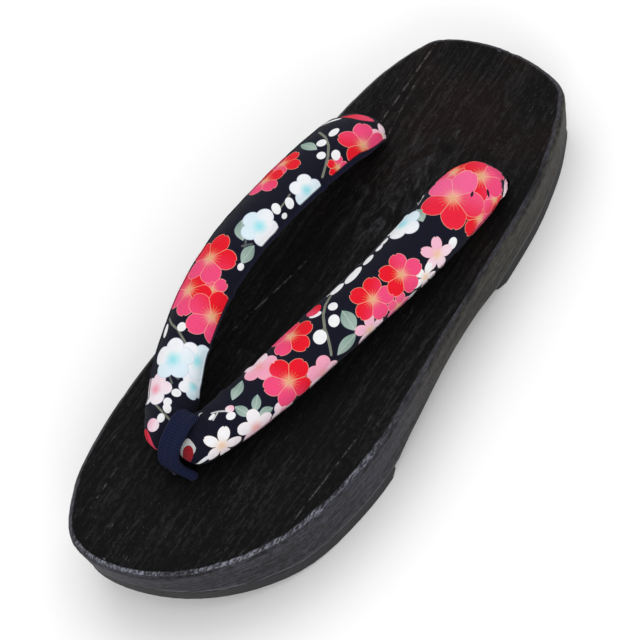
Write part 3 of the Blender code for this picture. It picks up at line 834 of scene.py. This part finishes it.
OUTER_TWIGS = (
    # look, half-width, then the bends
    ("frost", 0.32, (21.5, -14), (24.5, -12), (28.5, -11)),
    ("frost", 0.32, (24, -15), (27.5, -12.5)),
    ("shade", 0.36, (44, -12.5), (52, -12), (60, -11)),
    ("frost", 0.43, (70, -9.6), (76, -9.5)),
    ("twig", 0.5, (75, -8), (79, -6), (82.5, -3), (85.5, 1), (87.5, 5), (90, 9.5)),
    ("twig", 0.32, (85.5, 1), (89.5, 0.5)),
    ("frost", 0.29, (131, -1), (129.5, 0.6), (128.5, 1.8)),
    ("frost", 0.29, (131, -1), (134, 0.5)),
    ("frost", 0.29, (131, -1), (133, -2.2)),
    ("frost", 0.29, (137, -4.2), (139, -3.2)),
    ("frost", 0.29, (137, -4.2), (138.8, -5.5)),
    ("frost", 0.29, (137, -4.2), (135.2, -4.9)),
)
OUTER_PRINT = (
    # look, along, round, radius, turn, turn to the second colour, or half-length, half-width, turn
    ("bud", 56, 14.3, 3.5, 0.8, 0),
    ("blush", 121, 14.3, 4.5, 0.9, 0),
    ("bud", 12, 14.3, 9, 1, 0),
    ("leaf", 33, -5.8, 3.7, 2.3, 60),
    ("leaf", 77.8, 4.4, 4.1, 2.6, 80),
    ("leaf", 83.5, 10.2, 4.9, 2.3, 10),
    ("leaf", 121.5, -3.5, 4.4, 2, 30),
    ("plum", 38.8, -9.2, 7.2, 20, 200),
    ("bud", 47.5, -10, 1.9, 1.2, 10),
    ("bud", 50.8, -9.4, 1.9, 1.2, 10),
    ("bud", 57, -8.5, 2.7, 1.4, 10),
    ("bud", 64.8, -7.7, 4.3, 1.9, 10),
    ("bud", 72, -8.2, 3, 1.5, 0),
    ("bud", 33.5, 10.3, 2.1, 1.7, 30),
    ("bud", 78, -3.2, 1.7, 1.7, 0),
    ("bud", 81.5, 1.2, 2.3, 1.9, 40),
    ("bud", 88.8, 2.2, 2.6, 2.3, 30),
    ("pale", 40.2, 9, 6.2, 15, 90),
    ("white", 48, 12, 5.2, 0, 90),
    ("pink", 61, 13.5, 5.2, 20, 90),
    ("pale", 74, 12.5, 6.2, 30, 90),
    ("red", 20, 12, 7.6, 0, 120),
    ("red", 12, -7, 7.4, 20, 0),
    ("rose", 10.5, 11.5, 6.6, 0, 270),
    ("blush", 1.5, 9.5, 4.6, 1.6, 60),
    ("red", 9.2, 2.6, 9.2, 30, 140),
    ("rose", 21.3, -0.1, 11.5, 39, 205),
    ("slit", 16, 4.2, 1.2, 0.5, 20),
    ("slit", 11.6, 8.2, 1.4, 0.5, 60),
    ("slit", 3.8, 8, 2.6, 0.6, 50),
    ("red", 67, 4.6, 7.9, 13, 120),
    ("red", 54, 5, 7.7, 24, 160),
    ("bud", 84, -5.6, 2.3, 1.2, -30),
    ("scarlet", 83, -8, 3, 2.6, 0),
    ("red", 95, -6, 8.2, 20, 320),
    ("shell", 110, -5.6, 6.8, 10, 260),
    ("shell", 95.8, 13.2, 6.8, 25, 90),
    ("peach", 113.5, 14, 5, 0, 90),
    ("red", 106.8, 6.2, 8.8, -25, 15),
    ("leaf", 125.2, 4, 3, 1.7, 108),
    ("leaf", 120, 4.7, 3.1, 1.6, 42),
    ("leaf", 119.2, 9, 3, 1.7, -12),
    ("white", 136.5, 9.6, 6.6, 15, 90),
    ("blossom_white", 124.5, 11.5, 6.6, 40, 90),
    ("bud", 144, 10, 3.4, 0.8, -10),
    ("blush", 127.8, 0.8, 1.5, 1.3, 0),
    ("bud", 129, 3, 1.6, 1.3, 0),
    ("bud", 133.6, -0.8, 1.4, 0.7, 20),
    ("frost", 146.8, 2.6, 3, 2.7, 0),
    # This darker scarlet dot is painted shadow from the toe loop over a scarlet dot.
    ("shaded_scarlet", 147.6, 3.5, 2.7, 2.4, 0),
)


def keep(thing, name, domain, values):
    """Keep a vector on each corner or point of a piece, for its finish to read."""
    kept = thing.data.attributes.new(name, "FLOAT_VECTOR", domain)
    kept.data.foreach_set("vector", values.astype(np.float32).ravel())


def print_cloth(arm, twigs, motifs, u, v, foot, rolled_at):
    """Keep the three uppermost motifs of each face of an arm on its corners, for the cloth's finish."""
    rows = []
    for look, half, *bends in twigs:
        for (u1, v1), (u2, v2) in zip(bends, bends[1:]):
            length = math.hypot(u2 - u1, v2 - v1) / 2 + half * 0.6
            turn = math.degrees(math.atan2(v2 - v1, u2 - u1))
            rows.append((look, (u1 + u2) / 2, (v1 + v2) / 2, length, half, turn))
    rows += motifs
    mesh = arm.data
    corner = np.empty(len(mesh.loops), int)
    mesh.loops.foreach_get("vertex_index", corner)
    sizes = np.empty(len(mesh.polygons), int)
    mesh.polygons.foreach_get("loop_total", sizes)
    owner = np.repeat(np.arange(len(sizes)), sizes)
    column = np.where(corner % ARM_SIDES == owner % ARM_SIDES, corner % ARM_SIDES, owner % ARM_SIDES + 1)
    column = np.where(sizes[owner] == 4, column, 0)
    cu = u[corner // ARM_SIDES, column]
    cv = v[corner // ARM_SIDES, column]
    centre_u = np.bincount(owner, cu) / sizes
    centre_v = np.bincount(owner, cv) / sizes
    kept = {}
    for layer in range(PRINT_LAYERS):
        for part in ("place", "petals", "form", "first", "second"):
            kept[part, layer] = np.zeros((len(corner), 3))
    taken = np.zeros(len(sizes), int)
    for look, mu, mv, long, wide_or_turn, toward in reversed(rows):
        form, out, petal, stretch, gilt, first, second = LOOKS[look]
        swing = math.radians(toward)
        a, b = seen_along(swing, centre_u - mu, centre_v - mv)
        if form == BLOSSOM:
            petal_turn = math.radians(wide_or_turn - toward)
            near = np.hypot(a, b) - long * 0.5
            for k in range(PETALS):
                ahead, beside = seen_along(petal_turn + k * PETAL_STEP, a, b)
                ahead = (ahead - long * out) / stretch
                near = np.minimum(near, np.hypot(ahead, beside) - long * petal)
            covered = near < 0.55
            numbers = (long * out, long * petal, petal_turn)
        else:
            covered = np.hypot(a / (long + 0.6), b / (wide_or_turn + 0.6)) < 1
            numbers = (long, wide_or_turn, 0)
        for layer in range(PRINT_LAYERS):
            faces = np.flatnonzero(covered & (taken == layer))
            corners = np.flatnonzero(np.isin(owner, faces))
            a, b = seen_along(swing, cu[corners] - mu, cv[corners] - mv)
            kept["place", layer][corners] = np.stack([a, b, 0 * a], -1)
            kept["petals", layer][corners] = numbers
            kept["form", layer][corners] = (form, gilt, stretch)
            kept["first", layer][corners] = first
            kept["second", layer][corners] = second
        taken[covered] += 1
    kept["cloth", 0] = np.stack([cu, cv * foot, cv * foot + rolled_at * 1000], -1)
    for (part, layer), values in kept.items():
        keep(arm, f"{part}_{layer}", "CORNER", values)


print_cloth(inner_arm, INNER_TWIGS, INNER_PRINT, inner_u, inner_v, 1, INNER_ROLL)
print_cloth(outer_arm, OUTER_TWIGS, OUTER_PRINT, outer_u, outer_v, -1, OUTER_ROLL)

NAVY = (0.0044, 0.0048, 0.0225)
LINING_NAVY = (0.0052, 0.0068, 0.029)
CREAM = (0.84, 0.6, 0.38)
GOLD = (0.56, 0.28, 0.08)
ICE = (0.23, 0.68, 0.74)
ROSE_HEART = (0.8, 0.23, 0.36)
LEAF_RIB = (0.45, 0.53, 0.48)
RIM_LAVENDER = (0.52, 0.56, 0.7)
SEAM_BLACK = (0.003, 0.003, 0.008)


def print_layer(cloth, colour, layer):
    """Lay one layer of motifs over a colour."""
    a, b, _ = cloth.split(cloth.read(f"place_{layer}"))
    out, petal, turn = cloth.split(cloth.read(f"petals_{layer}"))
    form, gilt, stretch = cloth.split(cloth.read(f"form_{layer}"))
    blossom = form.maths("COMPARE", form, BLOSSOM, 0.5)
    leaf = form.maths("COMPARE", form, LEAF, 0.5)
    oval = form.maths("COMPARE", form, OVAL, 0.5)
    far = (a * a + b * b) ** 0.5
    swing = b.maths("ARCTAN2", b, a) - turn
    number = swing.maths("ROUND", swing / PETAL_STEP)
    fold = swing - number * PETAL_STEP
    ahead = far * fold.cosine()
    beside = abs(far * fold.sine())
    reach = out + petal * stretch
    notch = (0.60 * gilt - beside).most(0.0) * ahead.rising(out, reach)
    in_petal = (petal - (((ahead - out) / stretch) ** 2 + beside**2) ** 0.5 - notch).most(reach * 0.34 - far)
    in_leaf = (1 - (a / out) ** 2) * petal - abs(b)
    in_oval = (1 - (abs(a / out) ** stretch + (b / petal) ** 2) ** 0.5) * petal
    inside = in_petal * blossom + in_leaf * leaf + in_oval * oval

    petal_way = (number * PETAL_STEP + turn).cosine()
    share = (petal_way * 0.55 + a / reach * 0.7).rising(-0.55, 0.60)
    share = share * blossom + (a / out).rising(-1.0, 1.0) * (1 - blossom)
    ink = cloth.mix(share, cloth.read(f"first_{layer}"), cloth.read(f"second_{layer}"))
    rib = (0.26 - abs(b)).rising(0.0, 0.16) * leaf
    ink = cloth.mix(rib * 0.6, ink, LEAF_RIB)
    from_heart = far / reach
    plain = cloth.mix(gilt.rising(0.02, 0.08), ICE, ROSE_HEART)
    glow = from_heart.rising(0.52 - 0.16 * gilt, 0.0) * blossom
    ink = cloth.mix(glow * (0.85 - 0.25 * gilt), ink, cloth.mix(gilt.rising(0.2, 0.5), plain, CREAM))
    between = (far * (PETAL_STEP / 2 - abs(fold)).sine()).rising(0.24, 0.08)
    rim = inside.rising(0.26, 0.12)
    star = between * from_heart.rising(0.52, 0.30)
    lines = rim.most(between * 0.7 * from_heart.rising(0.2, 0.3)).most(star)
    ink = cloth.mix(lines * gilt * blossom * 0.46, ink, CREAM)
    ink = cloth.mix(inside.rising(0.55, 0.10) * gilt.rising(0.25, 0.05) * blossom * 0.5, ink, RIM_LAVENDER)
    ray_step = PETAL_STEP / 4
    ray = fold - fold.maths("ROUND", fold / ray_step) * ray_step
    stamen = abs(far * ray.sine()).rising(0.14, 0.04) * from_heart.rising(0.46, 0.40) * gilt * blossom
    ink = cloth.mix(stamen * 0.5, ink, GOLD)
    return cloth.mix(inside.rising(-0.05, 0.10), colour, ink)


cloth = Finish("strap_cloth", Metallic=0.0, Specular_IOR_Level=0.14, Sheen_Weight=0.03, Sheen_Roughness=0.4)
u, v, past_roll = cloth.split(cloth.read("cloth_0"))
thread = (u * 14 + v * 3).sine() * 0.25 + (v * 15 - u * 2).sine() * 0.25
crepe = cloth.cloud(u * 2.6, v * 2.6, 0.0, detail=3.0, rough=0.6)
fade = cloth.cloud(u * 0.12, v * 0.16, 3.0, detail=2.0)
colour = cloth.mix(fade, NAVY, LINING_NAVY)
for layer in reversed(range(PRINT_LAYERS)):
    colour = print_layer(cloth, colour, layer)
lining_at = LINING_FROM_CROWN * 1000
lined = v.rising(lining_at - 0.2, lining_at + 0.2).most(past_roll.rising(-1.3, -1.7))
lining = cloth.mix(crepe, NAVY, LINING_NAVY)
colour = cloth.mix(lined, colour, lining)
seam = abs(v - lining_at).rising(0.45, 0.1).most(abs(past_roll - 1.9).rising(0.45, 0.12))
colour = cloth.mix(seam * 0.75, colour, SEAM_BLACK)
colour = cloth.mix(0.06 + 0.14 * crepe, colour, cloth.mix(thread + 0.5, (0.0, 0.0, 0.0), colour))
cloth_bump = cloth.bump(thread * 0.5 + crepe * 1.2, 0.00022, 0.8)
for arm in (inner_arm, outer_arm):
    cloth.wear(arm, Base_Color=colour, Roughness=0.86 - 0.12 * crepe, Normal=cloth_bump)
    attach(arm, "root")
    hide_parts("strap")


# The toe loop is the maetsubo: a knitted band with a thick rib along each edge, laid round the point of
# the V. Both its ends go down the front hole.
LOOP_WIDTH = 0.0078
LOOP_THICKNESS = 0.0030
LOOP_LENGTH = 0.0190
LOOP_HEIGHT = 0.0163
LOOP_RINGS = 260
LOOP_SIDES = 96
EDGE_RIB = 0.00064
MIDDLE_RIB = 0.00016
RIB_FROM_MIDDLE = 0.74
TOE_LOOP = (
    # place, forward, up, breadth, sideways
    (0, 0.165, -0.42, 1.15, 0.0034),
    (1, 0.225, 0.02, 1.18, 0.0034),
    (2, 0.3, 0.34, 1, 0.001),
    (3, 0.29, 0.63, 1, 0),
    (4, 0.12, 0.88, 1.02, 0),
    (5, -0.15, 1, 1.02, 0),
    (6, -0.37, 0.95, 1, -0.0004),
    (7, -0.515, 0.76, 0.98, -0.0006),
    (8, -0.56, 0.48, 0.92, -0.0004),
    (9, -0.52, 0.27, 0.84, 0),
    (10, -0.34, 0.18, 0.72, 0),
    (11, -0.19, 0, 0.8, 0),
    (12, -0.15, -0.42, 0.8, 0),
)


def loop_middle(place):
    hole = HOLES[2]
    x = hole[0] + through(TOE_LOOP, 1, place) * LOOP_LENGTH
    z = top_height(hole[0]) + through(TOE_LOOP, 2, place) * LOOP_HEIGHT
    return np.stack([x, hole[1] + through(TOE_LOOP, 4, place), z], -1)


place = np.linspace(0, len(TOE_LOOP) - 1, LOOP_RINGS)
middle = loop_middle(place)
nudge = 0.1
way = unit(loop_middle(np.minimum(place + nudge, place[-1])) - loop_middle(np.maximum(place - nudge, 0)))
across = np.tile((0.0, 1.0, 0.0), (LOOP_RINGS, 1))
outward = np.cross(way, across)
angle = np.linspace(0, 2 * math.pi, LOOP_SIDES + 1)[:-1]
breadth = through(TOE_LOOP, 3, place)
flat = np.sign(np.sin(angle)) * np.abs(np.sin(angle)) ** 0.6
ribs = EDGE_RIB * np.exp(-(((np.abs(np.cos(angle)) - RIB_FROM_MIDDLE) / 0.17) ** 2))
ribs += MIDDLE_RIB * np.cos(np.cos(angle) * 14) * (np.abs(np.cos(angle)) < 0.5)
thick = (LOOP_THICKNESS / 2 * np.abs(flat) + ribs * (np.abs(np.sin(angle)) > 0.2)) * np.sign(np.sin(angle))
slack = np.array([noise.noise((p * 1.7, 0, 0)) for p in place])
loop_points = (
    (middle + across * 0.0003 * slack[:, None])[:, None, :]
    + across[:, None, :] * (LOOP_WIDTH / 2 * breadth[:, None] * np.cos(angle))[..., None]
    + outward[:, None, :] * thick[None, :, None]
)
band = make_piece("toe_band", loop_points.reshape(-1, 3), net(LOOP_RINGS, LOOP_SIDES, capped=True))


def keep_places(thing, along, around):
    """Keep each point's places along and around a cord for its finish."""
    keep(thing, "cord_place", "POINT", np.stack([along, around, 0 * along], -1))


keep_places(band, np.repeat(arc(middle) * 1000, LOOP_SIDES), np.tile(np.cos(angle), LOOP_RINGS))

BAND_NAVY = (0.0024, 0.0038, 0.017)
BAND_BLUE = (0.007, 0.0115, 0.045)

knit = Finish("loop_cord", Metallic=0.0, Specular_IOR_Level=0.12, Sheen_Weight=0.02, Sheen_Roughness=0.5)
along, around, _ = knit.split(knit.read("cord_place"))
ladder = (along * (math.tau / 0.95)).sine() * 0.5 + 0.5
edge_rib = abs(abs(around) - RIB_FROM_MIDDLE).rising(0.22, 0.05)
twist = (along * (math.tau / 0.8) + around * 9).sine() * 0.5 + 0.5
fluff = knit.cloud(along * 5, around * 20, 1.0, detail=3.0, rough=0.7)
stitch = ladder * (1 - edge_rib) + twist * edge_rib
knit.wear(
    band,
    Base_Color=knit.mix(stitch * 0.6 + fluff * 0.4, BAND_NAVY, BAND_BLUE),
    Roughness=0.92 - 0.1 * fluff,
    Normal=knit.bump(stitch + fluff * 0.5, 0.00025, 0.9),
)
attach(band, "root")
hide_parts("toe_loop")


# Under the base each end is tied off: the strap's core cord in the two rear recesses, the band's cord in
# the front one. They are soft cotton cords pulled up hard against the recess ceiling.
KNOT_SPREAD = 0.0054
KNOT_RISE = 0.0021
CORE_CORD = 0.0021
LOOP_CORD = 0.0018
KNOT_STEPS = 200
STALK_STEPS = 24
BEND_STEPS = 25
CORD_SIDES = 20
CORE_BLACK = (0.012, 0.013, 0.022)
CORE_GREY = (0.035, 0.037, 0.052)

twisted = Finish("knot_cord", Metallic=0.0, Specular_IOR_Level=0.25)
along, around, _ = twisted.split(twisted.read("cord_place"))
strands = abs((along * 0.9 + around * 1.5).sine())
lint = twisted.cloud(along * 6, around * 4, 2.0, detail=3.0, rough=0.7)
cord_colour = twisted.mix(strands * 0.6 + lint * 0.4, CORE_BLACK, CORE_GREY)
cord_matt = 0.95 - 0.1 * lint
cord_bump = twisted.bump(strands + lint * 0.4, 0.0004, 0.9)


def tie(name, place, radius, node, turn):
    """A cord that comes down its bore and is tied in an overhand knot, pulled flat in the recess."""
    ceiling = float(underside(place[0])) + RECESS_DEPTH
    t = np.linspace(0.35, math.tau + 0.05, KNOT_STEPS)
    x = KNOT_SPREAD * (np.sin(t) + 2 * np.sin(2 * t)) / 3
    y = KNOT_SPREAD * (np.cos(t) - 2 * np.cos(2 * t)) / 3
    z = -KNOT_RISE * np.sin(3 * t)
    knot = np.stack([*seen_along(-turn, x, y), z], -1)
    knot += (*place, ceiling - KNOT_RISE - radius - 0.0004)
    top = np.array((*place, float(top_height(place[0])) - TUCK_DEPTH - 0.0004))
    low = np.array((*place, ceiling + 0.0006))
    stalk = np.linspace(top, low, STALK_STEPS)
    bend = np.linspace(0, 1, BEND_STEPS + 1)[1:-1]
    joined = swept(low, np.array((0, 0, -0.006)), knot[0], (knot[1] - knot[0]) * 30, bend)
    path = np.vstack([stalk, joined, knot])
    way = unit(np.gradient(path, axis=0))
    first = unit(np.cross(way[0], (1.0, 0.0, 0.0)))
    around = []
    for step in way:
        first = unit(first - step * (first @ step))
        around.append(first)
    around = np.array(around)
    other = np.cross(way, around)
    swing = np.linspace(0, math.tau, CORD_SIDES + 1)[:-1]
    end = np.clip((len(path) - 1 - np.arange(len(path))) / 5, 0, 1)
    width = radius * np.sqrt(np.maximum(1 - (1 - end) ** 2, 0.02))[:, None, None]
    points = path[:, None, :] + width * (
        around[:, None, :] * np.cos(swing)[None, :, None] + other[:, None, :] * np.sin(swing)[None, :, None]
    )
    tied = make_piece(name, points.reshape(-1, 3), net(len(path), CORD_SIDES, capped=True))
    keep_places(tied, np.repeat(arc(path) * 1000, CORD_SIDES), np.tile(swing, len(path)))
    twisted.wear(tied, Base_Color=cord_colour, Roughness=cord_matt, Normal=cord_bump)
    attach(tied, "root")
    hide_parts(node)


tie("knot_inner", HOLES[0], CORE_CORD, "strap", 0.4)
tie("knot_outer", HOLES[1], CORE_CORD, "strap", 1.3)
tie("knot_front", HOLES[2], LOOP_CORD, "toe_loop", 2.1)


# The room: a plain near-white floor, a white studio all round, and two soft lamps: one high over the heel,
# one low on the toe's outer side, which lights the worn edge.
FLOOR_WHITE = (0.86, 0.86, 0.86)
FLOOR_PALER = (0.88, 0.88, 0.88)
HIGH_LAMP = ((-0.9, -0.5, 1.5), 2.0, 14)
EDGE_LAMP = ((1.1, 1.0, 0.75), 0.9, 11)

floor = make_piece("floor", [(-2, -2, 0), (2, -2, 0), (2, 2, 0), (-2, 2, 0)], [(0, 1, 2, 3)])
painted = Finish("floor_paint", Metallic=0.0, Specular_IOR_Level=0.1, Roughness=0.9)
x, y, _ = painted.split(painted.node("ShaderNodeTexCoord", out="Object"))
painted.wear(floor, Base_Color=painted.mix(painted.cloud(x * 3, y * 3, 0.0), FLOOR_WHITE, FLOOR_PALER))
floor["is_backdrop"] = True
world = bpy.data.worlds.new("studio")
world.use_nodes = True
world.node_tree.nodes["Background"].inputs["Color"].default_value = (1, 1, 1, 1)
world.node_tree.nodes["Background"].inputs["Strength"].default_value = 0.85
bpy.context.scene.world = world
bpy.context.scene.view_settings.view_transform = "Standard"
for name, (place, size, watts) in (("high_lamp", HIGH_LAMP), ("edge_lamp", EDGE_LAMP)):
    lamp = bpy.data.objects.new(name, bpy.data.lights.new(name, "AREA"))
    lamp.data.size = size
    lamp.data.energy = watts
    lamp.location = place
    lamp.rotation_euler = Vector(place).to_track_quat("Z", "Y").to_euler()
    bpy.context.scene.collection.objects.link(lamp)

low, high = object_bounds()
